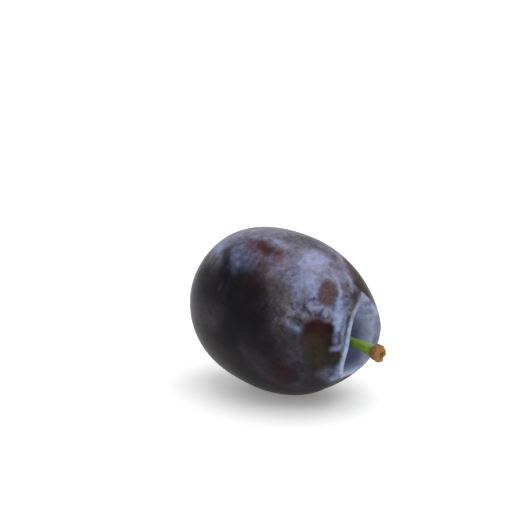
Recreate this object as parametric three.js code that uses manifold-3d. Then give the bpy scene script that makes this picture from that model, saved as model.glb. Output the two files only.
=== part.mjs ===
// A whole ripe plum lying on its side: a long, nearly black stone fruit with a deep hollow at its
// stem end, a seam that runs from the hollow along its underside, and the short stem that is
// still fixed in the hollow. Millimetres, +Z up. The plum rests on z = 0, its stem end points
// along +X and a little down, and the origin is under the middle of the whole part.
import * as THREE from "three";
import { mergeVertices } from "three/addons/utils/BufferGeometryUtils.js";
import Module from "manifold-3d";

// The fruit without its hollow and seam: a rounded body about a centre on its long axis.
const STEM_HALF = 26.7; // from the centre to the stem end
const TIP_HALF = 24.3; // from the centre to the other end, the tip
const SEAM_HALF = 20.3; // from the centre to the side, towards the seam
const FLANK_HALF = 18.3; // from the centre to the side, square to the seam
const STEM_FULLNESS = 1.8; // 2 is an ellipse, more is blunter
const TIP_FULLNESS = 2.35;

// The tip rises to a low point.
const POINT_HEIGHT = 1;
const POINT_SPREAD = degrees(16);

// The sides aren't quite round.
const WAVE_HEIGHT = 0.16;

// The hollow round the stem is a lens shape. It has one point near the seam and a longer one at
// the back, which its rim reaches more steeply on the +Y side.
const HOLLOW_DEPTH = 9;
const HOLLOW_HALF_WIDTH = degrees(19.2);
const HOLLOW_SEAM_POINT = degrees(23.3);
const HOLLOW_BACK_POINT = degrees(33.2);
const HOLLOW_POINTEDNESS = 0.82; // less is blunter
const HOLLOW_STEEP_POINTEDNESS = 2.4;
const HOLLOW_TURN = degrees(4); // of both points, away from the plane of the seam
const RIM_CRISPNESS = 1.45; // 1 is a sharp rim, 2 a very round one

// The rim of the hollow dips where the seam enters it, and less on the other side.
const SEAM_DIP = 1.9;
const BACK_DIP = 0.3;
const DIP_SPREAD = degrees(38);
const POLE_SPREAD = degrees(11); // nothing lopsided happens closer to the axis than this

// Across from the seam, a low valley runs up the back from the hollow.
const BACK_VALLEY_DEPTH = 0.6;
const BACK_VALLEY_AT = degrees(43);
const BACK_VALLEY_SPREAD = degrees(15);
const BACK_VALLEY_HALF_WIDTH = 0.3; // radians of arc

// The seam itself: a valley, deep at the hollow and faint on the body.
const SEAM_DEPTH = 0.25;
const SEAM_EXTRA_DEPTH = 0.6;
const SEAM_DEEPEST_AT = degrees(26);
const SEAM_DEEP_SPREAD = degrees(22);
const SEAM_HALF_WIDTH = 0.09; // radians of arc
const SEAM_EXTRA_WIDTH = 0.08;
const SEAM_WIDE_SPREAD = degrees(35);
const SEAM_END = 0.5; // radians before the tip over which it fades

// How the plum lies.
const TILT = degrees(11.3); // the stem end points down by this much
const SEAM_TURN = degrees(-5.5); // the seam is this far from straight down, towards +Y
const CENTRE_HEIGHT = 19.75; // of the body's centre over the table, which leaves a flat spot

// The stem, by its place along the fruit's axis from the body's centre, and its radius there.
const STEM_OUTLINE = [
  [15.6, 1.1],
  [17.3, 1.25],
  [18.8, 1.1],
  [21.5, 1.15],
  [24.2, 1.35],
  [25.7, 1.6],
  [26.7, 2],
  [27.8, 2.05],
  [28.8, 1.65],
];
const STEM_LEAN = 0.15; // towards the seam, at the broken end
const STEM_LEAN_FROM = 17; // the part in the fruit stands straight
const STEM_LEAN_CURVE = 1.5; // 1 is a straight lean
const BROKEN_END_DISH = 0.5; // depth
const KNOB_START = 25.2; // where the smooth stalk turns into the woody knob
const KNOB_FULL = 26.8;
const KNOB_LUMPS = 0.1; // share of the radius
const KNOB_RAGGEDNESS = 0.3; // of the broken end, along the axis
const SOCKET_CLEARANCE = 0.3;
const SOCKET_TOP = 19.5;

// The mesh: the fruit's points are closer together at the seam and at the hollow's rim.
const FRUIT_SIDES = 72;
const HOLLOW_RINGS = 14;
const BODY_RINGS = 28;
const SEAM_CROWDING = 0.45;
const HOLLOW_CROWDING = 1.4;
const BODY_CROWDING = 1.2;
const STEM_SIDES = 20;
const STEM_RINGS = 26;

const wasm = await Module();
wasm.setup();

function degrees(angle) {
  return THREE.MathUtils.degToRad(angle);
}

// 1 at zero, and fading away either side within about the spread.
function bell(distance, spread) {
  return Math.exp(-((distance / spread) ** 2));
}

// A direction from the fruit's centre is given by its angle from the stem end of the axis and its
// angle round the axis from the seam.

// Where the hollow's rim is, as an angle from the stem end.
function hollowRim(round) {
  const sideways = Math.sin(round + HOLLOW_TURN);
  const atBack = Math.cos(round + HOLLOW_TURN) < 0;
  const point = atBack ? HOLLOW_BACK_POINT : HOLLOW_SEAM_POINT;
  const pointedness = atBack && sideways > 0 ? HOLLOW_STEEP_POINTEDNESS : HOLLOW_POINTEDNESS;
  const share = (1 - Math.abs(sideways)) ** pointedness;
  return HOLLOW_HALF_WIDTH + (point - HOLLOW_HALF_WIDTH) * share;
}

function fruitRadius(fromStem, round) {
  const along = Math.cos(fromStem);
  const aside = Math.sin(fromStem);
  const toSeam = Math.cos(round);
  const half = along > 0 ? STEM_HALF : TIP_HALF;
  const fullness = along > 0 ? STEM_FULLNESS : TIP_FULLNESS;
  const side = 1 / Math.hypot(toSeam / SEAM_HALF, Math.sin(round) / FLANK_HALF);
  const body =
    (Math.abs(along / half) ** fullness + (aside / side) ** fullness) ** (-1 / fullness);

  const point = POINT_HEIGHT * bell(Math.PI - fromStem, POINT_SPREAD);
  const wave =
    WAVE_HEIGHT * aside ** 2 * (Math.sin(3 * round + 0.7) + Math.cos(2 * round + 2 * fromStem));

  const outward = Math.min(fromStem / hollowRim(round), 1);
  const hollow = HOLLOW_DEPTH * (1 - outward ** 2) ** RIM_CRISPNESS;

  const offAxis = 1 - bell(fromStem, POLE_SPREAD);
  const dip =
    (toSeam > 0 ? SEAM_DIP : BACK_DIP) * toSeam ** 2 * bell(fromStem, DIP_SPREAD) * offAxis;

  const turn = Math.atan2(Math.sin(round), toSeam);
  const fromBack = aside * (Math.PI - Math.abs(turn));
  const backValley =
    BACK_VALLEY_DEPTH *
    bell(fromStem - BACK_VALLEY_AT, BACK_VALLEY_SPREAD) *
    bell(fromBack, BACK_VALLEY_HALF_WIDTH);

  const width = SEAM_HALF_WIDTH + SEAM_EXTRA_WIDTH * bell(fromStem, SEAM_WIDE_SPREAD);
  const depth =
    SEAM_DEPTH + SEAM_EXTRA_DEPTH * bell(fromStem - SEAM_DEEPEST_AT, SEAM_DEEP_SPREAD);
  const fade = Math.min((Math.PI - fromStem) / SEAM_END, 1);
  const seam = toSeam > 0 ? depth * fade * offAxis * bell(aside * turn, width) : 0;

  return body + point + wave - hollow - dip - backValley - seam;
}

// A closed surface over rings of points, which run from the +X end to the -X end, with a point
// at each end.
function closedSurface(plusEnd, rings, minusEnd) {
  const sides = rings[0].length;
  const points = [plusEnd, ...rings.flat(), minusEnd];
  const at = (ring, side) => 1 + ring * sides + (side % sides);
  const last = rings.length - 1;
  const faces = [];
  for (let side = 0; side < sides; side++) {
    faces.push(0, at(0, side), at(0, side + 1));
    for (let ring = 0; ring < last; ring++) {
      faces.push(at(ring, side), at(ring + 1, side), at(ring + 1, side + 1));
      faces.push(at(ring, side), at(ring + 1, side + 1), at(ring, side + 1));
    }
    faces.push(points.length - 1, at(last, side + 1), at(last, side));
  }
  const geometry = new THREE.BufferGeometry().setFromPoints(points).setIndex(faces);
  geometry.computeVertexNormals();
  return geometry;
}

function solidOf(geometry) {
  const bare = geometry.clone();
  bare.deleteAttribute("normal");
  bare.deleteAttribute("uv");
  const merged = mergeVertices(bare, 1e-4);
  const mesh = new wasm.Mesh({
    numProp: 3,
    vertProperties: merged.getAttribute("position").array,
    triVerts: new Uint32Array(merged.index.array),
  });
  return new wasm.Manifold(mesh);
}

function geometryOf(solid) {
  const mesh = solid.getMesh();
  const geometry = new THREE.BufferGeometry();
  geometry.setAttribute("position", new THREE.BufferAttribute(mesh.vertProperties, 3));
  geometry.setIndex(new THREE.BufferAttribute(mesh.triVerts, 1));
  geometry.computeVertexNormals();
  return geometry;
}

function fruitPoint(fromStem, round) {
  const radius = fruitRadius(fromStem, round);
  const aside = radius * Math.sin(fromStem);
  return new THREE.Vector3(
    radius * Math.cos(fromStem),
    aside * Math.cos(round),
    aside * Math.sin(round),
  );
}

// The whole fruit, before the table and the stem shape it. One ring of points runs along the rim
// of the hollow.
function fruitGeometry() {
  const rounds = Array.from({ length: FRUIT_SIDES }, (_, side) => {
    const even = (2 * Math.PI * side) / FRUIT_SIDES;
    return even - SEAM_CROWDING * Math.sin(even);
  });
  const rings = [];
  for (let ring = 1; ring <= HOLLOW_RINGS; ring++) {
    const share = 1 - (1 - ring / HOLLOW_RINGS) ** HOLLOW_CROWDING;
    rings.push(rounds.map((round) => fruitPoint(share * hollowRim(round), round)));
  }
  for (let ring = 1; ring < BODY_RINGS; ring++) {
    const share = (ring / BODY_RINGS) ** BODY_CROWDING;
    rings.push(
      rounds.map((round) => {
        const rim = hollowRim(round);
        return fruitPoint(rim + share * (Math.PI - rim), round);
      }),
    );
  }
  return closedSurface(fruitPoint(0, 0), rings, fruitPoint(Math.PI, 0));
}

// The plain stalk, and the woody knob where it broke from the twig.
function stemGeometry() {
  const outline = new THREE.SplineCurve(
    STEM_OUTLINE.map(([along, radius]) => new THREE.Vector2(along, radius)),
  );
  const foot = STEM_OUTLINE[0][0];
  const end = STEM_OUTLINE.at(-1)[0];
  const lean = (along) => {
    const share = Math.max(along - STEM_LEAN_FROM, 0) / (end - STEM_LEAN_FROM);
    return STEM_LEAN * share ** STEM_LEAN_CURVE;
  };

  const rings = outline
    .getSpacedPoints(STEM_RINGS)
    .reverse()
    .map(({ x: along, y: radius }) =>
      Array.from({ length: STEM_SIDES }, (_, side) => {
        const round = (2 * Math.PI * side) / STEM_SIDES;
        const woody = THREE.MathUtils.smoothstep(along, KNOB_START, KNOB_FULL);
        const lumps = Math.sin(3 * round + 0.6) + 0.7 * Math.sin(5 * round + 2);
        const r = radius * (1 + KNOB_LUMPS * woody * lumps);
        const ragged = KNOB_RAGGEDNESS * woody * Math.sin(4 * round + 1);
        return new THREE.Vector3(
          along + ragged,
          lean(along) + r * Math.cos(round),
          r * Math.sin(round),
        );
      }),
    );
  const brokenEnd = new THREE.Vector3(end - BROKEN_END_DISH, STEM_LEAN, 0);
  return closedSurface(brokenEnd, rings, new THREE.Vector3(foot, 0, 0));
}

// The round socket that the stem's foot stands in, with a little room all round.
function socketGeometry() {
  const [[foot], [, widest]] = STEM_OUTLINE;
  const radius = widest + SOCKET_CLEARANCE;
  const bottom = foot - SOCKET_CLEARANCE;
  const socket = new THREE.CylinderGeometry(radius, radius, SOCKET_TOP - bottom, STEM_SIDES);
  return socket.rotateZ(Math.PI / 2).translate((SOCKET_TOP + bottom) / 2, 0, 0);
}

// Turns the seam towards the table, and then the stem end down.
const lying = new THREE.Group();
lying.rotation.set(SEAM_TURN - Math.PI / 2, TILT, 0, "YXZ");
lying.position.z = CENTRE_HEIGHT;
lying.updateMatrix();

// Everything under the table's top, in the fruit's own frame.
const table = new THREE.BoxGeometry(90, 90, 20).translate(0, 0, -10);
table.applyMatrix4(lying.matrix.clone().invert());

const wholeFruit = solidOf(fruitGeometry());
const restingFruit = wholeFruit.subtract(solidOf(table)).subtract(solidOf(socketGeometry()));

// Nearly black skin under a blue-grey bloom, and green bark.
const skin = new THREE.MeshStandardMaterial({ color: 0x3a3548, roughness: 0.45, metalness: 0 });
const bark = new THREE.MeshStandardMaterial({ color: 0x6d8a2c, roughness: 0.6, metalness: 0 });

const fruit = new THREE.Mesh(geometryOf(restingFruit), skin);
fruit.name = "fruit";

const stem = new THREE.Mesh(stemGeometry(), bark);
stem.name = "stem";

lying.add(fruit, stem);

const plum = new THREE.Group();
plum.add(lying);
const middle = new THREE.Box3().setFromObject(plum, true).getCenter(new THREE.Vector3());
plum.position.set(-middle.x, -middle.y, 0);

export default plum;
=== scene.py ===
import math

import bpy
import numpy as np
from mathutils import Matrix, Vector


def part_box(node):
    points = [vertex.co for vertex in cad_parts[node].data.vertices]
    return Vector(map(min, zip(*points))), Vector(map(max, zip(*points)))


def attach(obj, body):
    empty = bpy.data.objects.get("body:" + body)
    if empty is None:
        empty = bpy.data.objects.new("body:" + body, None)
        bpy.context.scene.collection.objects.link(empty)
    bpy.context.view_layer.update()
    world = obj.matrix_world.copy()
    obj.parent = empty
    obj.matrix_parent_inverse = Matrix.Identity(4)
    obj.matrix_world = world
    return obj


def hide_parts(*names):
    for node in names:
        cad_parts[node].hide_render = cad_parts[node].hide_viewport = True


# A ripe plum lying on its side: nearly black skin under a patchy pale blue bloom, a deep hollow
# with a short green stem in it, and a pale studio floor. Metres, +Z up, stem end towards +X.

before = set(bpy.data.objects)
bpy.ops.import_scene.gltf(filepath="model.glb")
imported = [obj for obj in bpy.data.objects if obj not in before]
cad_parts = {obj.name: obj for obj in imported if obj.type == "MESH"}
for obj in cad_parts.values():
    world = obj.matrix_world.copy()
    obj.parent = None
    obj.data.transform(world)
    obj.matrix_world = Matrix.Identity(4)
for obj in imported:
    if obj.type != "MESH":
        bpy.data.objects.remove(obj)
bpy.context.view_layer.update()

MM = 0.001
SEED = 7

# The fruit without its hollow and seam: a rounded body about a centre on its long axis.
STEM_HALF = 26.7 * MM
TIP_HALF = 24.3 * MM
SEAM_HALF = 20.3 * MM
FLANK_HALF = 18.3 * MM
STEM_FULLNESS = 1.8
TIP_FULLNESS = 2.35
POINT_HEIGHT = 1.0 * MM
POINT_SPREAD = math.radians(16)
WAVE_HEIGHT = 0.16 * MM

# The hollow round the stem, a lens shape with one point near the seam and one at the back.
HOLLOW_DEPTH = 9.0 * MM
HOLLOW_HALF_WIDTH = math.radians(19.2)
HOLLOW_SEAM_POINT = math.radians(23.3)
HOLLOW_BACK_POINT = math.radians(33.2)
HOLLOW_POINTEDNESS = 0.82
HOLLOW_STEEP_POINTEDNESS = 2.4
HOLLOW_TURN = math.radians(4)
RIM_CRISPNESS = 1.45

# The dips in its rim, and the seam. Widths and spreads are angles at the fruit's centre.
SEAM_DIP = 1.9 * MM
BACK_DIP = 0.3 * MM
DIP_SPREAD = math.radians(38)
POLE_SPREAD = math.radians(11)
BACK_VALLEY_DEPTH = 0.6 * MM
BACK_VALLEY_AT = math.radians(43)
BACK_VALLEY_SPREAD = math.radians(15)
BACK_VALLEY_HALF_WIDTH = 0.3
SEAM_DEPTH = 0.25 * MM
SEAM_EXTRA_DEPTH = 0.6 * MM
SEAM_DEEPEST_AT = math.radians(26)
SEAM_DEEP_SPREAD = math.radians(22)
SEAM_HALF_WIDTH = 0.09
SEAM_EXTRA_WIDTH = 0.08
SEAM_WIDE_SPREAD = math.radians(35)
SEAM_END = 0.5

# How the fruit lies.
TILT = math.radians(11.3)
SEAM_TURN = math.radians(-5.5)
CENTRE_HEIGHT = 19.75 * MM

# The camera stands where the photograph was taken from. The fruit's centre shows at this pixel,
# counted from the photograph's top left corner.
VIEW_AZIMUTH = math.radians(33.2)
VIEW_ELEVATION = math.radians(17)
VIEW_DISTANCE = 0.532
IMAGE = 524
FOCAL_PIXELS = 2155
CENTRE_PIXEL = (284.4, 312.6)
SENSOR_MM = 36


def bell(distance, spread):
    return np.exp(-((distance / spread) ** 2))


def hollow_rim(around):
    """Where the hollow's rim is, as an angle from the stem end of the axis."""
    sideways = np.sin(around + HOLLOW_TURN)
    at_back = np.cos(around + HOLLOW_TURN) < 0
    point = np.where(at_back, HOLLOW_BACK_POINT, HOLLOW_SEAM_POINT)
    steep = at_back & (sideways > 0)
    pointedness = np.where(steep, HOLLOW_STEEP_POINTEDNESS, HOLLOW_POINTEDNESS)
    share = np.maximum(1 - np.abs(sideways), 0) ** pointedness
    return HOLLOW_HALF_WIDTH + (point - HOLLOW_HALF_WIDTH) * share


def fruit_radius(from_stem, around):
    """From the fruit's centre, in the direction with that angle from the stem end of the axis and
    that angle round the axis from the seam."""
    along = np.cos(from_stem)
    aside = np.sin(from_stem)
    to_seam = np.cos(around)
    half = np.where(along > 0, STEM_HALF, TIP_HALF)
    fullness = np.where(along > 0, STEM_FULLNESS, TIP_FULLNESS)
    side = 1 / np.hypot(to_seam / SEAM_HALF, np.sin(around) / FLANK_HALF)
    body = (np.abs(along / half) ** fullness + (aside / side) ** fullness) ** (-1 / fullness)

    point = POINT_HEIGHT * bell(np.pi - from_stem, POINT_SPREAD)
    lobes = np.sin(3 * around + 0.7) + np.cos(2 * around + 2 * from_stem)
    wave = WAVE_HEIGHT * aside**2 * lobes

    outward = np.minimum(from_stem / hollow_rim(around), 1)
    hollow = HOLLOW_DEPTH * (1 - outward**2) ** RIM_CRISPNESS

    off_axis = 1 - bell(from_stem, POLE_SPREAD)
    dip_depth = np.where(to_seam > 0, SEAM_DIP, BACK_DIP)
    dip = dip_depth * to_seam**2 * bell(from_stem, DIP_SPREAD) * off_axis

    turn = np.arctan2(np.sin(around), to_seam)
    from_back = aside * (np.pi - np.abs(turn))
    back_valley = (BACK_VALLEY_DEPTH * bell(from_stem - BACK_VALLEY_AT, BACK_VALLEY_SPREAD)
                   * bell(from_back, BACK_VALLEY_HALF_WIDTH))

    width = SEAM_HALF_WIDTH + SEAM_EXTRA_WIDTH * bell(from_stem, SEAM_WIDE_SPREAD)
    depth = SEAM_DEPTH + SEAM_EXTRA_DEPTH * bell(from_stem - SEAM_DEEPEST_AT, SEAM_DEEP_SPREAD)
    fade = np.minimum((np.pi - from_stem) / SEAM_END, 1)
    seam = np.where(to_seam > 0, depth * fade * off_axis * bell(aside * turn, width), 0)

    return body + point + wave - hollow - dip - back_valley - seam


def lie_down(points):
    """From the fruit's own frame, with its axis on X, to the table."""
    x, y, z = points[..., 0], points[..., 1], points[..., 2]
    roll = SEAM_TURN - math.pi / 2
    y, z = y * math.cos(roll) - z * math.sin(roll), y * math.sin(roll) + z * math.cos(roll)
    x, z = x * math.cos(TILT) + z * math.sin(TILT), -x * math.sin(TILT) + z * math.cos(TILT)
    return np.stack([x, y, z + CENTRE_HEIGHT], axis=-1)


def fruit_own(from_stem, around):
    radius = fruit_radius(from_stem, around)
    aside = radius * np.sin(from_stem)
    own = [radius * np.cos(from_stem), aside * np.cos(around), aside * np.sin(around)]
    return np.stack(own, axis=-1)


def fruit_points(from_stem, around):
    return lie_down(fruit_own(from_stem, around))


# The fruit's fine mesh. Its sides crowd at the seam, and its rings at the rim of the hollow.
FRUIT_SIDES = 340
HOLLOW_RINGS = 90
BODY_RINGS = 190
SEAM_CROWDING = 0.3
HOLLOW_CROWDING = 1.3
BODY_CROWDING = 1.15
SHRINK = 0.05 * MM
PRESSED_EDGE = 0.05 * MM
UNEVEN_DEPTH = 0.10 * MM
UNEVEN_SIZE = 9 * MM
FINE_UNEVEN_DEPTH = 0.025 * MM
FINE_UNEVEN_SIZE = 2.5 * MM
WRINKLE_DEPTH = 0.10 * MM
WRINKLE_COUNT = 11
WRINKLES_AT = 0.13
WRINKLE_SPREAD = 0.09
WRINKLE_START = 0.1

# The stem's outline, in millimetres along the fruit's axis and out from it. Its end is woody.
STEM_OUTLINE = [
    (15.6, 1.05),
    (17.3, 1.2),
    (18.8, 1.08),
    (21.5, 1.18),
    (24.2, 1.38),
    (25.6, 1.58),
    (26.5, 1.92),
    (27.8, 1.97),
    (28.7, 1.45),
]
STEM_LEAN = 0.15
STEM_LEAN_FROM = 17
STEM_LEAN_CURVE = 1.5
KNOB_START = 25.2
KNOB_FULL = 26.6
KNOB_LUMPS = 0.07
BROKEN_END_DISH = 0.8
BROKEN_END_WAVE = 0.2
STEM_RIDGES = 0.02
STEM_SIDES = 96
STEM_RINGS = 200
SPLINE_STEPS = 40

CLOUD_LATTICE = 32
OCTAVE_FADE = 0.55


def smooth_step(low, high, value):
    share = np.clip((value - low) / (high - low), 0, 1)
    return share * share * (3 - 2 * share)


def cloud(points, size, seed, octaves=1):
    """Soft seeded noise from 0 to 1 over points in space, with lumps of about that size."""
    rng = np.random.default_rng(SEED * 100 + seed)
    total, weight = 0, 0
    for octave in range(octaves):
        lattice = rng.random((CLOUD_LATTICE, CLOUD_LATTICE, CLOUD_LATTICE))
        place = points / size * 2**octave + rng.random(3) * CLOUD_LATTICE
        cell = np.floor(place).astype(int)
        inside = place - cell
        inside = inside * inside * (3 - 2 * inside)
        value = 0
        for corner in np.ndindex(2, 2, 2):
            near = np.where(corner, inside, 1 - inside).prod(axis=-1)
            at = (cell + corner) % CLOUD_LATTICE
            value = value + near * lattice[at[..., 0], at[..., 1], at[..., 2]]
        total = total + value * OCTAVE_FADE**octave
        weight += OCTAVE_FADE**octave
    return total / weight


def closed_surface(name, rings, plus_end, minus_end):
    """A mesh over rings of points, from the +X end to the -X end, with a point at each end."""
    ring_count, sides = rings.shape[:2]
    points = np.concatenate([[plus_end], rings.reshape(-1, 3), [minus_end]])
    ring, side = np.meshgrid(np.arange(ring_count - 1), np.arange(sides), indexing="ij")
    here = 1 + ring * sides + side
    beside = 1 + ring * sides + (side + 1) % sides
    faces = np.stack([here, here + sides, beside + sides, beside], axis=-1).reshape(-1, 4).tolist()
    last = 1 + (ring_count - 1) * sides
    for k in range(sides):
        following = (k + 1) % sides
        faces.append([0, 1 + k, 1 + following])
        faces.append([len(points) - 1, last + following, last + k])
    mesh = bpy.data.meshes.new(name)
    mesh.from_pydata(points.tolist(), [], faces)
    mesh.polygons.foreach_set("use_smooth", [True] * len(faces))
    mesh.update()
    piece = bpy.data.objects.new(name, mesh)
    bpy.context.scene.collection.objects.link(piece)
    return piece, points


def save_field(piece, name, values):
    attribute = piece.data.attributes.new(name, "FLOAT", "POINT")
    attribute.data.foreach_set("value", np.asarray(values, dtype=np.float32))


# Fruit mesh


def fruit_grid():
    even = 2 * np.pi * np.arange(FRUIT_SIDES) / FRUIT_SIDES
    around = even - SEAM_CROWDING * np.sin(even)
    rim = hollow_rim(around)
    share_in = 1 - (1 - np.arange(1, HOLLOW_RINGS + 1) / HOLLOW_RINGS) ** HOLLOW_CROWDING
    share_out = (np.arange(1, BODY_RINGS) / BODY_RINGS) ** BODY_CROWDING
    inner = share_in[:, None] * rim
    outer = rim + share_out[:, None] * (np.pi - rim)
    from_stem = np.concatenate([inner, outer])
    return from_stem, np.broadcast_to(around, from_stem.shape)


def grown(points, from_stem, around):
    """Adds what makes the smooth shape look grown: faint unevenness, and wrinkles at the stem."""
    uneven = UNEVEN_DEPTH * cloud(points, UNEVEN_SIZE, seed=1)
    uneven = uneven + FINE_UNEVEN_DEPTH * cloud(points, FINE_UNEVEN_SIZE, seed=2)
    ridges = np.cos(WRINKLE_COUNT * around + 3 * np.sin(2 * around))
    wrinkle = WRINKLE_DEPTH * bell(from_stem - WRINKLES_AT, WRINKLE_SPREAD) * ridges
    inward = SHRINK + uneven + wrinkle * np.minimum(from_stem / WRINKLE_START, 1)
    centre = np.array([0, 0, CENTRE_HEIGHT])
    out = points - centre
    return points - out / np.linalg.norm(out, axis=-1, keepdims=True) * inward[..., None]


def fruit_surface(from_stem, around):
    return grown(fruit_points(from_stem, around), from_stem, around)


from_stem, around = fruit_grid()
rings = fruit_surface(from_stem, around)

# The CAD part's origin is under the middle of the part with its stem.
low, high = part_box("fruit")
shift = np.array([(low.x + high.x - rings[..., 0].min() - rings[..., 0].max()) / 2,
                  (low.y + high.y - rings[..., 1].min() - rings[..., 1].max()) / 2, 0])


def pressed(points):
    """Where the fruit lies on the table, its skin is pressed flat."""
    points = points + shift
    points[..., 2] = (points[..., 2] + np.sqrt(points[..., 2] ** 2 + PRESSED_EDGE**2)) / 2
    return points


stem_end, tip = (pressed(fruit_surface(np.array(angle), np.array(0.0))) for angle in (0.0, np.pi))
fruit, fruit_vertices = closed_surface("fruit_skin", pressed(rings), stem_end, tip)
fruit_from_stem = np.concatenate([[0], from_stem.ravel(), [np.pi]])
fruit_around = np.concatenate([[0], around.ravel(), [0]])
past_rim = fruit_from_stem - hollow_rim(fruit_around)


# Marks on the skin

FINE_EDGE_SIZE = 1.6 * MM
COARSE_EDGE_SIZE = 5 * MM


def camera_frame():
    """The camera's place, and its directions to the right, up and back."""
    sin_az, cos_az = math.sin(VIEW_AZIMUTH), math.cos(VIEW_AZIMUTH)
    sin_el, cos_el = math.sin(VIEW_ELEVATION), math.cos(VIEW_ELEVATION)
    right = np.array([cos_az, sin_az, 0])
    back = np.array([sin_az * cos_el, -cos_az * cos_el, sin_el])
    up = np.cross(back, right)
    metres_per_pixel = VIEW_DISTANCE / FOCAL_PIXELS
    aside = (IMAGE / 2 - CENTRE_PIXEL[0]) * metres_per_pixel
    above = (CENTRE_PIXEL[1] - IMAGE / 2) * metres_per_pixel
    fruit_centre = shift + [0, 0, CENTRE_HEIGHT]
    return fruit_centre + back * VIEW_DISTANCE + right * aside + up * above, right, up, back


def skin_pixels():
    """Where in the photograph each vertex of the skin shows. A vertex that is turned away or
    inside the hollow is endlessly far off."""
    place, right, up, back = camera_frame()
    sight = fruit_vertices - place
    ahead = -(sight @ back)[:, None]
    pixels = IMAGE / 2 + FOCAL_PIXELS * np.stack([sight @ right, -(sight @ up)], axis=-1) / ahead
    normals = np.empty(fruit_vertices.size, dtype=np.float32)
    fruit.data.vertices.foreach_get("normal", normals)
    turned_away = (normals.reshape(-1, 3) * sight).sum(axis=-1) > 0
    pixels[turned_away | (past_rim < 0)] = np.inf
    return pixels


SKIN_PIXELS = skin_pixels()
fine_edges = cloud(fruit_vertices, FINE_EDGE_SIZE, seed=3, octaves=3)
coarse_edges = cloud(fruit_vertices, COARSE_EDGE_SIZE, seed=10)
EDGE_NOISE = (fine_edges + coarse_edges) / 2


def seen(*pixels):
    """The places on the skin that show at those pixels of the photograph."""
    nearest = [np.linalg.norm(SKIN_PIXELS - pixel, axis=-1).argmin() for pixel in pixels]
    return list(fruit_vertices[nearest])


def unseen(*places):
    """The places at those angles, in degrees from the stem end and round from the seam."""
    return [fruit_points(*np.radians(place)) + shift for place in places]


def mark(stops, half_width, softness):
    """How much each vertex is in a mark, 0 to 1. The mark runs from stop to stop, and it is that
    many millimetres wide on each side. A single stop makes a round mark."""
    if len(stops) == 1:
        stops = stops * 2
    distance = np.full(len(fruit_vertices), np.inf)
    for start, end in zip(stops, stops[1:]):
        leg = end - start
        share = np.clip((fruit_vertices - start) @ leg / max(leg @ leg, 1e-12), 0, 1)
        away = np.linalg.norm(fruit_vertices - start - share[:, None] * leg, axis=-1)
        distance = np.minimum(distance, away)
    distance = distance / (half_width * MM) + EDGE_NOISE - 0.5
    return 1 - smooth_step(1 - softness, 1 + softness, distance)


# Places that more than one kind of mark shares.
OVAL_SPOT = seen((328, 288), (327.5, 299))
FAR_UPPER_LEFT = seen((218, 246), (221, 251))
BROWN_HAZE = seen((276, 283), (281, 294))
SMALL_PATCH = seen((343, 286))
LOW_BLOT = seen((334, 357))
LOW_RED = seen((276, 369), (286, 376))

# Where the bloom is dense, colder, worn thin or rubbed off, and where the skin under it is red,
# brown, olive or scarred. Each mark has a line of places, a half width in millimetres, and a
# strength.
DENSE_BLOOM = {
    "broad streak": (seen((313, 257), (316, 277)), 2.9, 0.75),
    "smudge under it": (seen((299, 292), (290, 304)), 2.6, 0.5),
    "left of the spot": (seen((308, 275), (312, 292)), 2.3, 0.55),
    "low strokes": (seen((284, 302), (301, 307)), 1.5, 0.42),
    "smudge by the scar": (seen((306, 298), (311, 311)), 2.1, 0.55),
    "right of the streak": (seen((323, 264), (332, 277)), 2.4, 0.45),
    "curl": (seen((270, 245), (277, 242), (286, 246)), 0.8, 0.45),
    "far upper left": (FAR_UPPER_LEFT, 1.3, 0.45),
    "upper left": (seen((238, 250), (247, 258), (240, 268)), 2.6, 0.22),
    "left smudge": (seen((236, 264), (235, 270)), 1.0, 0.4),
    "middle": (seen((286, 277), (296, 284)), 2.0, 0.4),
    "upper right": (seen((340, 258), (346, 268)), 1.2, 0.4),
    "long streak": (seen((338, 303), (339, 315), (338, 327)), 1.2, 0.95),
    "long streak's tail": (seen((338, 328), (336, 341)), 0.8, 0.42),
    "bright smudge": (seen((330, 349), (336, 349), (340, 347)), 0.8, 0.58),
    "dot": (seen((293, 326), (297, 329)), 0.8, 0.62),
    "beside the dot": (seen((284, 321), (291, 324)), 1.2, 0.35),
    "beside the hollow": (seen((345, 315), (342, 335), (342, 355)), 0.5, 0.5),
    "above that": (seen((348, 299), (347, 311)), 1.2, 0.35),
    "under the hollow": (seen((334, 379), (339, 376), (342, 368)), 1.6, 0.8),
    # This low haze is partly bloom and partly a painted reflection of the pale floor on the lower
    # body.
    "low haze with painted reflection": (seen((286, 338), (298, 352), (298, 376)), 4.3, 0.15),
    "low right haze": (seen((328, 373)), 3.0, 0.36),
    "ring": (seen((333, 275), (339, 284), (341, 295), (336, 303)), 0.45, 0.75),
    "net": (seen((344, 271), (351, 281), (352, 292)), 0.4, 0.4),
    "under the spot": (seen((309, 306), (319, 306), (330, 313)), 1.4, 0.75),
    "slanting stroke": (seen((325.5, 316), (331.5, 306.5)), 0.45, 0.85),
    "comb": (seen((311, 317), (320, 318), (328, 320)), 0.6, 0.4),
    "left of the dark patch": (seen((276, 318), (285, 328), (287, 342)), 2.6, 0.13),
}
COLD = {
    "upper left": (seen((238, 250), (246, 258), (240, 270)), 4.5, 1.0),
    "far upper left": (FAR_UPPER_LEFT, 2.5, 1.0),
    "long streak": (seen((338, 303), (338, 327)), 2.0, 1.0),
    "lower streak": (seen((336, 341), (336, 349)), 2.0, 0.8),
    "under the hollow": (seen((330, 381), (342, 368)), 3.0, 1.0),
    "dot": (seen((291, 325), (297, 328)), 1.2, 0.8),
    "middle": (seen((288, 278), (308, 288), (320, 305)), 3.0, 0.6),
}
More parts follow.
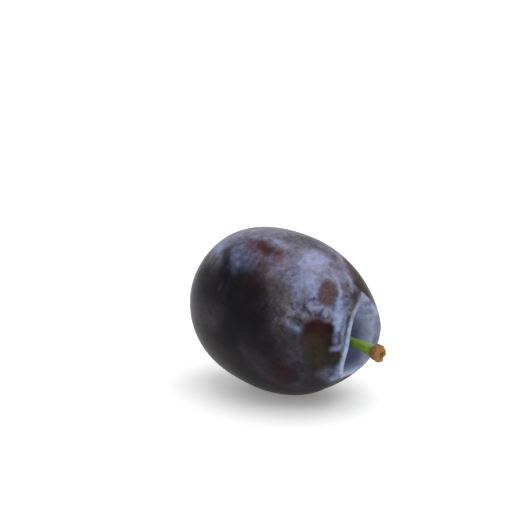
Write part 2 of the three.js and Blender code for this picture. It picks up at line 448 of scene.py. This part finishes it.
WORN = {
    "left side": (seen((246, 288), (239, 312)), 5.5, 1.0),
    "left, lower": (seen((252, 312), (257, 336)), 3.8, 0.9),
    "left, under the patch": (seen((222, 274), (233, 283), (244, 286)), 2.2, 0.8),
    "upper left": (seen((240, 246), (252, 260), (244, 273)), 3.6, 0.35),
    "brown haze": (BROWN_HAZE, 2.4, 0.5),
    "bright red patch": (seen((261, 246), (267, 249)), 1.7, 0.95),
    "red, left": (seen((252, 243), (255, 249)), 1.6, 0.6),
    "red, middle": (seen((277, 254)), 1.2, 0.6),
    "red, low": (seen((262, 264)), 1.8, 0.5),
    # The bloom thinned along the top stands in for the grey look of the grazing reflection there;
    # it is not wear.
    "top": (seen((295, 238), (309, 243)), 2.5, 0.3),
}
RUBBED = {
    "oval spot": (OVAL_SPOT, 1.8, 0.82),
    "net, upper": (seen((347.5, 285)), 0.45, 0.45),
    "net, lower": (seen((347, 296)), 0.4, 0.4),
    "stroke left of the spot": (seen((309, 300), (315, 298.5)), 0.3, 0.35),
    "stroke under it": (seen((314.5, 305), (319.5, 305.5)), 0.3, 0.35),
    "small stroke": (seen((292, 304.5), (294, 309)), 0.35, 0.5),
    "upright stroke": (seen((304, 304), (304.5, 311)), 0.3, 0.5),
    "slanting stroke": (seen((307.5, 309), (310.5, 316)), 0.35, 0.55),
    "middle stroke": (seen((315, 311), (315.5, 317)), 0.3, 0.45),
    "right stroke": (seen((322.5, 309), (320, 316)), 0.3, 0.4),
    "dark patch, top": (seen((313, 328), (329, 329)), 1.2, 1.0),
    "dark patch": (seen((316, 334), (317, 361)), 3.0, 0.8),
    "dark patch, right": (seen((324, 331), (323, 350)), 1.6, 0.8),
    "scratch": (seen((288, 317), (304, 322)), 0.35, 0.55),
    "left edge": (seen((227, 251), (226, 263)), 1.2, 0.7),
    "wedge by the hollow": (seen((357, 290), (350, 306)), 1.1, 0.25),
    "low blot": (LOW_BLOT, 1.3, 0.8),
    "small patch": (SMALL_PATCH, 1.0, 0.35),
    "bare band's top": (seen((350, 264), (355, 272)), 2.4, 1.0),
    "bare band": (seen((351, 266), (360, 284), (366, 293)), 2.1, 1.0),
    "bare band's edge": (seen((355, 270), (365, 283), (372, 299)), 1.9, 1.0),
    "low red": (LOW_RED, 2.8, 0.7),
}
RED = {
    "bright patch": (seen((259, 245), (265, 248)), 1.4, 1.0),
    "left of it": (seen((252, 243), (256, 250)), 1.8, 0.5),
    "right of it": (seen((276, 253), (282, 257)), 1.1, 0.6),
    "under it": (seen((262, 257), (266, 268), (280, 264)), 2.2, 0.4),
    "dark patch": (seen((312, 328), (318, 332), (316, 338)), 2.4, 0.45),
    "low red": (LOW_RED, 2.5, 0.33),
    "left side": (seen((247, 281), (254, 284)), 1.4, 0.2),
    "beside the bare band": (seen((345, 264), (352, 276)), 1.6, 0.25),
}
BROWN = {
    "oval spot": (OVAL_SPOT, 1.9, 1.0),
    "bare band": (seen((350, 264), (357, 276)), 2.3, 1.0),
    "bare band's edge": (seen((366, 285), (372, 299)), 1.7, 0.9),
    "small patch": (SMALL_PATCH, 1.1, 0.5),
    "brown haze": (BROWN_HAZE, 2.0, 0.3),
}
OLIVE = {
    "bare band": (seen((358, 275), (362, 284), (364, 291)), 1.7, 0.9),
    "left of the scratch": (seen((273, 288), (279, 300)), 2.4, 0.35),
    "dark patch": (seen((314, 345), (317, 360)), 2.7, 0.55),
    "low blot": (LOW_BLOT, 1.4, 0.5),
}
SCAR = {
    "scratch": (seen((291, 318), (297, 320), (304, 322)), 0.16, 0.5),
    "tip": (unseen((179, 0)), 0.45, 0.8),
}


# The corners of the side that the photograph doesn't show, in degrees as in unseen.
UNSEEN_FROM = (50, 5)
UNSEEN_TO = (160, 150)


def scattered(count, seed, half_widths, strengths, longest=14):
    """Seeded marks over the unseen side, with ends up to that many degrees away."""
    rng = np.random.default_rng(SEED * 100 + seed)
    marks = {}
    for number in range(count):
        start = rng.uniform(UNSEEN_FROM, UNSEEN_TO)
        end = start + rng.uniform(-longest, longest, 2)
        half_width = rng.uniform(*half_widths)
        strength = rng.uniform(*strengths)
        marks[f"unseen {seed}, {number}"] = (unseen(start, end), half_width, strength)
    return marks


DENSE_BLOOM |= scattered(7, seed=20, half_widths=(0.8, 2.4), strengths=(0.3, 0.7))
COLD |= scattered(5, seed=21, half_widths=(2, 5), strengths=(0.5, 1))
RED |= scattered(5, seed=22, half_widths=(1, 2.4), strengths=(0.3, 0.7))
UNSEEN_SPOTS = scattered(4, seed=24, half_widths=(0.7, 1.6), strengths=(0.6, 1), longest=4)
BROWN |= UNSEEN_SPOTS
RUBBED |= UNSEEN_SPOTS
RUBBED |= scattered(6, seed=23, half_widths=(0.5, 1.6), strengths=(0.3, 0.8))
SCAR |= scattered(2, seed=25, half_widths=(0.14, 0.18), strengths=(0.5, 0.7), longest=8)


def painted(marks, softness):
    """All those marks in one field, with edges of that softness."""
    field = np.zeros(len(fruit_vertices))
    for stops, half_width, strength in marks.values():
        field = np.maximum(field, strength * mark(stops, half_width, softness))
    return field


# The bloom's lower border, as a share of the half height above the middle. It is higher where
# hands rubbed the fruit, on the near side towards the tip.
BLOOM_BORDER = 0.1
HANDLED_RISE = 0.5
BLOOM_FADE_BELOW = 0.35
BLOOM_FADE_ABOVE = 0.6
NEAR_SIDE_FROM = 4 * MM
NEAR_SIDE_FULL = -12 * MM
TIP_HALF_FROM = math.radians(70)
TIP_HALF_FULL = math.radians(108)

PATCH_SIZE = 8 * MM
MOTTLE_SIZE = 2.4 * MM
STREAK_WIDTH = 0.9 * MM
STREAK_SQUEEZE = 0.2
FILM_SIZE = 11 * MM
FILM_STRENGTH = 0.17

# The lip is the bloom just outside the hollow. Its widths are angles at the fruit's centre.
LIP_FULL = 0.01
LIP_WIDTH = 0.04
LIP_EXTRA_WIDTH = 0.03


def shoulder_field():
    """The far side's strip along the rim, which is greyer."""
    return smooth_step(0.3, 0.9, np.sin(fruit_around)) * smooth_step(-0.075, -0.04, past_rim)


def upper_bloom(patches, mottles, streaks):
    """The bloom that lies on the upper half, and the thin film in places under it."""
    height = (fruit_vertices[:, 2] - CENTRE_HEIGHT) / FLANK_HALF
    near_side = smooth_step(NEAR_SIDE_FROM, NEAR_SIDE_FULL, fruit_vertices[:, 1])
    tip_half = smooth_step(TIP_HALF_FROM, TIP_HALF_FULL, fruit_from_stem)
    border = BLOOM_BORDER + HANDLED_RISE * (near_side * tip_half)
    reach = height + 0.8 * (patches - 0.5) + 0.45 * (streaks - 0.5)
    zone = smooth_step(border - BLOOM_FADE_BELOW, border + BLOOM_FADE_ABOVE, reach)
    film_places = cloud(fruit_vertices, FILM_SIZE, seed=11, octaves=2)
    film = FILM_STRENGTH * smooth_step(0.35, 0.65, film_places)
    return np.maximum(zone * (0.35 + 0.35 * mottles), film)


def lip_bloom(mottles):
    """The bloom in the hollow and on its lip."""
    width = LIP_WIDTH + LIP_EXTRA_WIDTH * np.sin(fruit_around) ** 2
    thickness = 0.6 + 0.1 * np.cos(fruit_around) + 0.5 * mottles
    at_back = smooth_step(0.7, 1, -np.cos(fruit_around)) * smooth_step(-0.02, 0.02, past_rim)
    thinning = 1 - 0.15 * shoulder_field() - 0.4 * at_back
    return smooth_step(width, LIP_FULL, past_rim) * thickness * thinning


def bloom_field():
    """The pale wax bloom: thick above and in the hollow, rubbed off below."""
    patches = cloud(fruit_vertices, PATCH_SIZE, seed=4, octaves=3)
    mottles = cloud(fruit_vertices, MOTTLE_SIZE, seed=5, octaves=3)
    squeezed = fruit_own(fruit_from_stem, fruit_around) * [1, STREAK_SQUEEZE, STREAK_SQUEEZE]
    streaks = cloud(squeezed, STREAK_WIDTH, seed=9, octaves=3)
    field = upper_bloom(patches, mottles, streaks)
    dense = painted(DENSE_BLOOM, softness=0.9)
    field = field + dense * (0.35 + 0.7 * streaks + 0.5 * mottles - field)
    field = field * (1 - painted(WORN, softness=1.0)) * (1 - painted(RUBBED, softness=0.6))
    return np.maximum(field, lip_bloom(mottles))


def hollow_field():
    """How deep in the hollow a vertex is, 0 to 1, with a faint start on the lip. It counts deeper
    on the seam side, and it sets how dark the painted shade in the hollow is.
    """
    outward = fruit_from_stem / hollow_rim(fruit_around)
    seam_side = smooth_step(0.2, 0.9, np.cos(fruit_around))
    depth = smooth_step(1, 0.2, outward) * (1 + 0.5 * seam_side)
    depth = depth + 0.45 * seam_side * smooth_step(1, 0.85, outward)
    return 0.15 * smooth_step(0.07, 0.02, past_rim) + 0.85 * np.clip(depth, 0, 1)


FRUIT_FIELDS = {
    "bloom": bloom_field(),
    "red": painted(RED, softness=1.0),
    "brown": painted(BROWN, softness=0.6),
    "olive": painted(OLIVE, softness=0.8),
    "cold": painted(COLD, softness=1.0),
    "scar": painted(SCAR, softness=0.4),
    "hollow": hollow_field(),
    "shoulder": shoulder_field(),
}
for name, values in FRUIT_FIELDS.items():
    save_field(fruit, name, values)


# Stem mesh


def stem_outline():
    """Evenly spaced points on a smooth curve through the outline."""
    along, radius = np.array(STEM_OUTLINE).T
    step = np.linspace(0, len(along) - 1, SPLINE_STEPS * len(along))
    left = np.clip(step.astype(int), 0, len(along) - 2)
    share = step - left

    def spline(values):
        before = 2 * values[0] - values[1]
        after = 2 * values[-1] - values[-2]
        padded = np.concatenate([[before], values, [after]])
        p0, p1, p2, p3 = (padded[left + k] for k in range(4))
        return 0.5 * (2 * p1 + (p2 - p0) * share + (2 * p0 - 5 * p1 + 4 * p2 - p3) * share**2
                      + (3 * p1 - p0 - 3 * p2 + p3) * share**3)

    along, radius = spline(along), spline(radius)
    length = np.concatenate([[0], np.cumsum(np.hypot(np.diff(along), np.diff(radius)))])
    even = np.linspace(0, length[-1], STEM_RINGS)
    return np.interp(even, length, along)[::-1], np.interp(even, length, radius)[::-1]


def stem_mesh():
    """The stem, with lumps and pits in its woody end. Its fields say how woody and how pitted each
    vertex is, how far along, and how far turned up."""
    along, radius = (values[:, None] for values in stem_outline())
    foot, end = STEM_OUTLINE[0][0], STEM_OUTLINE[-1][0]
    lean_share = np.maximum(along - STEM_LEAN_FROM, 0) / (end - STEM_LEAN_FROM)
    lean = STEM_LEAN * lean_share**STEM_LEAN_CURVE
    around = 2 * np.pi * np.arange(STEM_SIDES) / STEM_SIDES
    woody = smooth_step(KNOB_START, KNOB_FULL, along)
    lumps = np.sin(3 * around + 0.6) + 0.7 * np.sin(5 * around + 2)
    ridges = STEM_RIDGES * np.sin(9 * around + 0.15 * along) * (1 - woody)
    wide = radius * (1 + KNOB_LUMPS * woody * lumps + ridges)
    forward = along + BROKEN_END_WAVE * woody * np.sin(4 * around + 1)
    own = np.stack([forward, lean + wide * np.cos(around), wide * np.sin(around)], axis=-1)

    wood_pits = 0.35 * cloud(own, 0.45, seed=6, octaves=3) + 0.2 * cloud(own, 1.1, seed=7) - 0.25
    bark_pits = 0.05 * (cloud(own * [0.4, 1, 1], 0.5, seed=8, octaves=2) - 0.5)
    rough = woody * wood_pits + (1 - woody) * bark_pits
    middle = np.stack([along, lean, 0 * along], axis=-1)
    own = own - (own - middle) * rough[..., None] * 0.9
    own[..., 0] -= 0.6 * woody * np.maximum(rough, 0)

    rings = lie_down(own * MM) + shift
    middles = np.array([[end - BROKEN_END_DISH, STEM_LEAN, 0], [foot, 0, 0]])
    broken_middle, foot_middle = lie_down(middles * MM) + shift
    piece, _ = closed_surface("stem_bark", rings, broken_middle, foot_middle)

    upward = (rings[..., 2] - rings[..., 2].mean(axis=1, keepdims=True)) / (wide * MM)
    fields = {
        "woody": (1, woody, 0),
        "pit": (0.5, rough * woody, 0),
        "along": (end, along, foot),
        "upward": (0, upward, 0),
    }
    for name, (at_broken_middle, on_rings, at_foot_middle) in fields.items():
        on_rings = np.broadcast_to(on_rings, wide.shape).ravel()
        save_field(piece, name, np.concatenate([[at_broken_middle], on_rings, [at_foot_middle]]))
    return piece


stem = stem_mesh()


# Materials

# Colours are linear red, green and blue. A pair runs from the darker shade to the paler one.
BARE_SKIN = (0.0025, 0.0022, 0.0025), (0.011, 0.008, 0.009)
RED_SKIN = (0.028, 0.004, 0.005), (0.060, 0.010, 0.012)
BROWN_SKIN = (0.060, 0.036, 0.037), (0.125, 0.080, 0.075)
OLIVE_SKIN = (0.030, 0.022, 0.010), (0.058, 0.044, 0.023)
SCAR_TISSUE = (0.15, 0.115, 0.08)
LAVENDER_WAX = (0.31, 0.30, 0.46), (0.31, 0.33, 0.53)
COLD_WAX = (0.27, 0.34, 0.54)
SHOULDER_WAX = (0.30, 0.31, 0.40)
HAZE = (0.19, 0.175, 0.225)
COLD_HAZE = (0.15, 0.17, 0.30)
RED_HAZE = (0.23, 0.13, 0.17)
GREEN_BARK = (0.12, 0.22, 0.006), (0.17, 0.29, 0.014)
# Painted shade for the stem's underside, and a painted highlight for its top.
BARK_PAINTED_SHADE = (0.055, 0.10, 0.004)
BARK_PAINTED_HIGHLIGHT = (0.25, 0.35, 0.12)
# The woody end grows paler towards the break, partly as a painted highlight. Its pale fibres are
# partly a painted highlight too, and its dark pits are painted shade.
WOOD = (0.13, 0.045, 0.016), (0.29, 0.13, 0.03)
WOOD_FIBRE_AND_HIGHLIGHT = (0.50, 0.31, 0.13)
WOOD_PIT_SHADE = (0.12, 0.042, 0.014)
FLOOR_GREY = (0.86, 0.86, 0.86), (0.88, 0.88, 0.88)

# This pair runs from the rim of the hollow down to its bottom. Its dark end is painted shade deep
# in the hollow, over the bloom's own blue.
HOLLOW_WAX_AND_PAINTED_SHADE = (0.36, 0.44, 0.62), (0.058, 0.072, 0.15)

# Where along the stem the painted shade and highlight on its bark start and are full, and where its
# wood starts and is fully pale, partly as a painted highlight, in millimetres.
BARK_PAINTED_LIGHT_FROM = 23.5
BARK_PAINTED_LIGHT_FULL = 18.5
PALE_WOOD_FROM = 26.2
PALE_WOOD_FULL = 28.2

SKIN_RELIEF = 0.04 * MM
BARK_RELIEF = 0.08 * MM
FLOOR_GLOW = 0.2

# A mix node's colour sockets come after those for numbers and vectors.
MIX_COLOUR_A = 6
MIX_COLOUR_B = 7
MIX_COLOUR_RESULT = 2


class Nodes:
    """Short names for the material nodes used here. A value or another node's socket goes in,
    and sizes are in millimetres."""

    def __init__(self, name):
        self.material = bpy.data.materials.new(name)
        self.material.use_nodes = True
        self.tree = self.material.node_tree
        self.shader = self.tree.nodes["Principled BSDF"]
        coordinates = self.tree.nodes.new("ShaderNodeTexCoord")
        self.place = self.math_vector("SCALE", coordinates.outputs["Object"], 1 / MM)

    def put(self, socket, value):
        if isinstance(value, bpy.types.NodeSocket):
            self.tree.links.new(value, socket)
        elif socket.type == "RGBA":
            socket.default_value = (*value, 1)
        else:
            socket.default_value = value

    def shade(self, values):
        """Sets those inputs of the shader."""
        for name, value in values.items():
            self.put(self.shader.inputs[name], value)

    def field(self, name):
        node = self.tree.nodes.new("ShaderNodeAttribute")
        node.attribute_name = name
        return node.outputs["Fac"]

    def math_vector(self, operation, a, b):
        node = self.tree.nodes.new("ShaderNodeVectorMath")
        node.operation = operation
        self.put(node.inputs[0], a)
        self.put(node.inputs["Scale"] if operation == "SCALE" else node.inputs[1], b)
        return node.outputs[0]

    def math(self, operation, a, b=0.0, c=0.0):
        node = self.tree.nodes.new("ShaderNodeMath")
        node.operation = operation
        for socket, value in zip(node.inputs, (a, b, c)):
            self.put(socket, value)
        return node.outputs[0]

    def linear(self, value, slope, offset=0.0):
        return self.math("MULTIPLY_ADD", value, slope, offset)

    def add(self, *values):
        total = values[0]
        for value in values[1:]:
            total = self.math("ADD", total, value)
        return total

    def noise(self, size, detail=2.0, roughness=0.5, place=None, output="Fac"):
        node = self.tree.nodes.new("ShaderNodeTexNoise")
        self.put(node.inputs["Vector"], place or self.place)
        node.inputs["Scale"].default_value = 1 / size
        node.inputs["Detail"].default_value = detail
        node.inputs["Roughness"].default_value = roughness
        return node.outputs[output]

    def voronoi(self, size, place):
        node = self.tree.nodes.new("ShaderNodeTexVoronoi")
        self.put(node.inputs["Vector"], place)
        node.inputs["Scale"].default_value = 1 / size
        return node.outputs["Distance"]

    def step(self, value, low, high, out_low=0.0, out_high=1.0):
        node = self.tree.nodes.new("ShaderNodeMapRange")
        node.interpolation_type = "SMOOTHSTEP"
        self.put(node.inputs["Value"], value)
        node.inputs["From Min"].default_value = low
        node.inputs["From Max"].default_value = high
        node.inputs["To Min"].default_value = out_low
        node.inputs["To Max"].default_value = out_high
        return node.outputs["Result"]

    def mix(self, share, a, b):
        node = self.tree.nodes.new("ShaderNodeMix")
        node.data_type = "RGBA"
        self.put(node.inputs["Factor"], share)
        self.put(node.inputs[MIX_COLOUR_A], a)
        self.put(node.inputs[MIX_COLOUR_B], b)
        return node.outputs[MIX_COLOUR_RESULT]

    def bump(self, height, depth):
        node = self.tree.nodes.new("ShaderNodeBump")
        node.inputs["Strength"].default_value = 1
        node.inputs["Distance"].default_value = depth
        self.put(node.inputs["Height"], height)
        self.shade({"Normal": node.outputs["Normal"]})


def bare_skin(n, warped, mottles, grains):
    """The skin under the bloom, with its red, brown and olive patches and its scars."""
    speckles = n.step(n.noise(0.9, detail=4, roughness=0.6), 0.3, 0.75)
    skin = n.mix(n.step(n.noise(9, place=warped), 0.4, 0.65), *BARE_SKIN)
    skin = n.mix(n.field("red"), skin, n.mix(n.step(mottles, 0.3, 0.7), *RED_SKIN))
    skin = n.mix(n.field("brown"), skin, n.mix(speckles, *BROWN_SKIN))
    skin = n.mix(n.field("olive"), skin, n.mix(speckles, *OLIVE_SKIN))
    scar = n.math("MULTIPLY", n.field("scar"), n.step(grains, 0.3, 0.6))
    return n.mix(scar, skin, SCAR_TISSUE)


def thin_bloom(n):
    """The tint of a bloom that the skin shows through."""
    haze = n.mix(n.field("cold"), HAZE, COLD_HAZE)
    return n.mix(n.field("red"), haze, RED_HAZE)


def thick_bloom(n, patches):
    """Lavender or cold outside the hollow, and inside it a blue bloom that darkens with depth as
    painted shade.
    """
    lavender = n.mix(n.step(patches, 0.35, 0.7), *LAVENDER_WAX)
    lavender = n.mix(n.field("cold"), lavender, COLD_WAX)
    # The bloom inside the hollow darkens with depth as painted shade.
    blue = n.mix(n.step(n.field("hollow"), 0.2, 0.9), *HOLLOW_WAX_AND_PAINTED_SHADE)
    wax = n.mix(n.step(n.field("hollow"), 0.02, 0.12), lavender, blue)
    return n.mix(n.field("shoulder"), wax, SHOULDER_WAX)


def skin_material():
    n = Nodes("skin")
    drift = n.math_vector("SCALE", n.noise(3, output="Color"), 2.0)
    warped = n.math_vector("ADD", n.place, drift)
    patches = n.noise(6, detail=3, roughness=0.55, place=warped)
    mottles = n.noise(1.3, detail=4, roughness=0.6, place=warped)
    grains = n.noise(0.35, roughness=0.6)
    lenticels = n.voronoi(2.1, warped)

    # The bloom breaks up in patches, mottles and grains, and it is thinner over each lenticel.
    uneven = n.add(
        n.linear(patches, 0.8, -0.4),
        n.linear(mottles, 1.0, -0.5),
        n.linear(grains, 0.35, -0.175),
    )
    amount = n.step(n.field("bloom"), 0, 0.5, 0.1, 0.7)
    density = n.math("MULTIPLY_ADD", uneven, amount, n.field("bloom"))
    dots = n.step(n.add(lenticels, n.field("hollow")), 0.06, 0.18, 0.5, 1.0)
    veil = n.math("MULTIPLY", n.step(density, 0, 0.55, 0.02, 0.55), dots)
    bloom = n.math("MULTIPLY", n.step(density, 0.35, 1.1), dots)

    thinly_covered = n.mix(veil, bare_skin(n, warped, mottles, grains), thin_bloom(n))
    leathery = n.math("MAXIMUM", n.field("brown"), n.field("olive"))
    n.shade({
        "Base Color": n.mix(bloom, thinly_covered, thick_bloom(n, patches)),
        "Roughness": n.linear(bloom, 0.35, 0.35),
        "Sheen Weight": n.linear(leathery, -0.03, 0.03),
        "Sheen Roughness": 0.3,
        "Specular IOR Level": n.linear(leathery, -0.05, 0.08),
        "IOR": 1.45,
    })
    n.bump(n.add(n.linear(bloom, 0.5), n.linear(grains, 0.3), n.linear(mottles, 0.6)), SKIN_RELIEF)
    return n.material


def green_bark(n, streaks):
    """Green, with painted shade on its underside and a painted highlight on top, most of all
    towards the foot.
    """
    near_foot = n.step(n.field("along"), BARK_PAINTED_LIGHT_FROM, BARK_PAINTED_LIGHT_FULL)
    turned_up = n.add(n.field("upward"), n.linear(streaks, 0.6, -0.3))
    green = n.mix(n.step(streaks, 0.35, 0.7), *GREEN_BARK)
    # The underside is darkened as painted shade, and the top is lightened as a painted highlight.
    under = n.math("MULTIPLY", n.step(turned_up, 0.2, -0.6), n.linear(near_foot, 0.5, 0.3))
    green = n.mix(under, green, BARK_PAINTED_SHADE)
    painted_highlight = n.math("MULTIPLY", n.step(turned_up, 0.45, 0.95), n.linear(near_foot, 0.3, 0.4))
    return n.mix(painted_highlight, green, BARK_PAINTED_HIGHLIGHT)


def broken_wood(n, fibres, lumps):
    """The woody end, paler towards the break, with pale fibres and dark pits. The paleness and the
    fibres are partly a painted highlight, and the pits' darkness is painted shade.
    """
    towards_break = n.add(n.field("along"), n.linear(lumps, 3.2, -1.6))
    # Paler towards the break, partly as a painted highlight.
    wood = n.mix(n.step(towards_break, PALE_WOOD_FROM, PALE_WOOD_FULL), *WOOD)
    # Pale fibres, partly a painted highlight.
    wood = n.mix(n.step(fibres, 0.35, 0.7, 0, 0.38), wood, WOOD_FIBRE_AND_HIGHLIGHT)
    # Painted shade in the pits.
    return n.mix(n.step(n.field("pit"), 0.02, 0.35, 0, 0.85), wood, WOOD_PIT_SHADE)


def bark_material():
    n = Nodes("bark")
    streaks = n.noise(0.5, place=n.math_vector("MULTIPLY", n.place, (0.35, 1, 1)))
    fibres = n.noise(0.16, detail=3, roughness=0.65)
    lumps = n.noise(0.8)
    woody = n.step(n.add(n.field("woody"), n.linear(lumps, 0.8, -0.4)), 0.1, 0.6)
    n.shade({
        "Base Color": n.mix(woody, green_bark(n, streaks), broken_wood(n, fibres, lumps)),
        "Roughness": n.step(n.field("woody"), 0, 1, 0.42, 0.85),
        "Specular IOR Level": 0.4,
        "Subsurface Weight": 0.15,
        "Subsurface Radius": (0.6 * MM, 0.8 * MM, 0.2 * MM),
        "Subsurface Scale": 1,
    })
    n.bump(n.add(n.math("MULTIPLY", fibres, n.field("woody")), n.linear(streaks, 0.4)), BARK_RELIEF)
    return n.material


def floor_material():
    n = Nodes("floor")
    n.shade({
        "Base Color": n.mix(n.noise(40, detail=3), *FLOOR_GREY),
        "Roughness": 0.6,
        "Specular IOR Level": 0.2,
        "Emission Color": (1, 1, 1),
        "Emission Strength": FLOOR_GLOW,
    })
    return n.material


fruit.data.materials.append(skin_material())
stem.data.materials.append(bark_material())
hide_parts("fruit")
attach(fruit, "root")
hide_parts("stem")
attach(stem, "root")


# Studio

FLOOR_HALF = 6.0
ROOM_LIGHT = 0.6
LIGHT_TARGET = (0, 0, 0.02)


def studio_floor():
    half = FLOOR_HALF
    mesh = bpy.data.meshes.new("floor")
    corners = [(-half, -half, 0), (half, -half, 0), (half, half, 0), (-half, half, 0)]
    mesh.from_pydata(corners, [], [(0, 1, 2, 3)])
    mesh.materials.append(floor_material())
    floor = bpy.data.objects.new("floor", mesh)
    bpy.context.scene.collection.objects.link(floor)


def area_light(name, place, size, power):
    light = bpy.data.lights.new(name, "AREA")
    light.shape = "RECTANGLE"
    light.size, light.size_y = size
    light.energy = power
    lamp = bpy.data.objects.new(name, light)
    lamp.location = place
    from_target = Vector(place) - Vector(LIGHT_TARGET)
    lamp.rotation_euler = from_target.to_track_quat("Z", "Y").to_euler()
    bpy.context.scene.collection.objects.link(lamp)


def studio_lights():
    world = bpy.data.worlds.new("studio")
    world.use_nodes = True
    background = world.node_tree.nodes["Background"]
    background.inputs["Color"].default_value = (1, 1, 1, 1)
    background.inputs["Strength"].default_value = ROOM_LIGHT
    bpy.context.scene.world = world
    area_light("top", place=(0.3, 0.3, 1.7), size=(2.4, 2.4), power=28)
    area_light("back", place=(-0.9, 0.6, 0.5), size=(1.2, 0.6), power=3)


def photo_camera():
    place, _, _, back = camera_frame()
    data = bpy.data.cameras.new("photo_camera")
    data.sensor_width = SENSOR_MM
    data.lens = SENSOR_MM * FOCAL_PIXELS / IMAGE
    camera = bpy.data.objects.new("photo_camera", data)
    camera.location = place
    camera.rotation_euler = Vector(back).to_track_quat("Z", "Y").to_euler()
    bpy.context.scene.collection.objects.link(camera)
    bpy.context.scene.camera = camera


studio_floor()
studio_lights()
photo_camera()
bpy.context.scene.view_settings.view_transform = "Standard"
